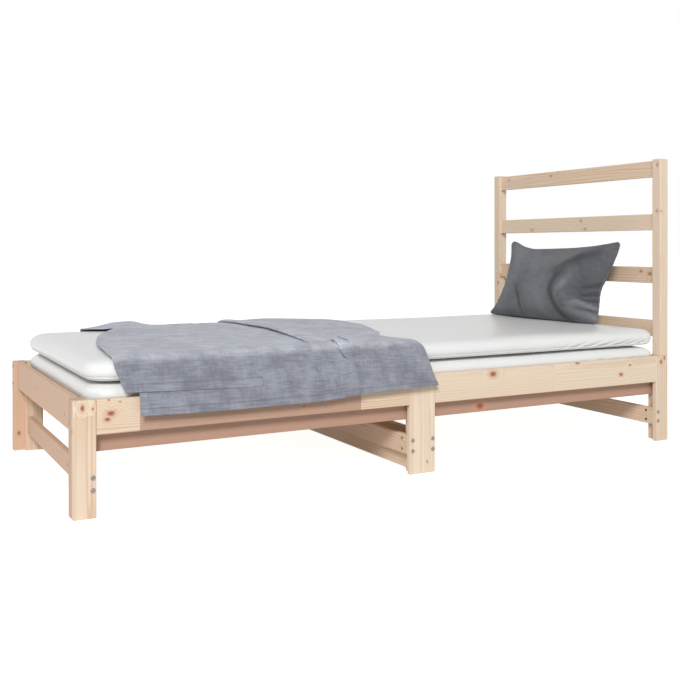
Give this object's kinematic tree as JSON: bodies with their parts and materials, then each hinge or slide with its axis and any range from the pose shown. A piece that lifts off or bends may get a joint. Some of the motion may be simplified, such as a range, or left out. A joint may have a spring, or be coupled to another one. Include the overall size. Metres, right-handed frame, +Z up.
{
  "type": "pull-out daybed",
  "caption": "Single pine daybed with a slatted headboard end. A second slatted frame of plain boards in front slides out sideways to make a double-width base.",
  "frame": {"origin": "on the floor, below the middle of the box that the closed bed with its bedding takes up", "axes": "+X from the foot end to the headboard, -Y the side that the second frame pulls out to, +Z up"},
  "size_m": [2.0852, 0.9752, 1],
  "materials": {
    "pine": "planed, clear satin",
    "slat_pine": "planed, raw",
    "zinc": "zinc plated",
    "white_cover": "smooth satin-weave cover",
    "blue_grey_cloth": "soft mottled weave",
    "charcoal_cloth": "plain matt weave"
  },
  "bodies": {
    "fixed_frame": {"headboard_front_post": "pine", "headboard_front_foot": "pine", "headboard_back_post": "pine", "back_left_post": "pine", "front_left_post": "pine", "front_middle_post": "pine", "back_middle_post": "pine", "headboard_rail_1": "pine", "headboard_rail_2": "pine", "headboard_rail_3": "pine", "headboard_rail_4": "pine", "foot_rail": "pine", "head_rail": "pine", "back_rail": "pine", "inner_rail": "pine", "middle_low_rail": "pine", "back_ledger": "pine", "frame_bolt_1": "zinc", "frame_bolt_2": "zinc", "fixed_slat_1": "slat_pine", "fixed_slat_2": "slat_pine", "fixed_slat_3": "slat_pine", "fixed_slat_4": "slat_pine", "fixed_slat_5": "slat_pine", "fixed_slat_6": "slat_pine", "fixed_slat_7": "slat_pine", "fixed_slat_8": "slat_pine"},
    "pullout_frame": {"pullout_left_leg": "pine", "pullout_middle_leg": "pine", "pullout_right_leg": "pine", "pullout_left_rail": "pine", "pullout_right_rail": "pine", "pullout_ledger": "pine", "pullout_stretcher_1": "pine", "pullout_stretcher_2": "pine", "pullout_stretcher_3": "pine", "pullout_stretcher_4": "pine", "pullout_rear_leg_1": "pine", "pullout_rear_leg_2": "pine", "pullout_rear_leg_3": "pine", "pullout_rear_leg_4": "pine", "pullout_slat_1": "slat_pine", "pullout_slat_2": "slat_pine", "pullout_slat_3": "slat_pine", "pullout_slat_4": "slat_pine", "pullout_slat_5": "slat_pine", "pullout_slat_6": "slat_pine", "pullout_slat_7": "slat_pine", "pullout_bolt_1": "zinc", "pullout_bolt_2": "zinc", "pullout_bolt_3": "zinc", "pullout_bolt_4": "zinc", "pullout_bolt_5": "zinc", "pullout_bolt_6": "zinc", "pullout_bolt_7": "zinc", "pullout_bolt_8": "zinc", "lower_mattress": "white_cover", "upper_mattress": "white_cover", "blanket": "blue_grey_cloth", "pillow": "charcoal_cloth"}
  },
  "joints": [
    {"name": "pullout_slide", "type": "slide", "parent": "fixed_frame", "child": "pullout_frame", "axis": [0, -1, 0], "range_m": [0, 0.839]}
  ]
}
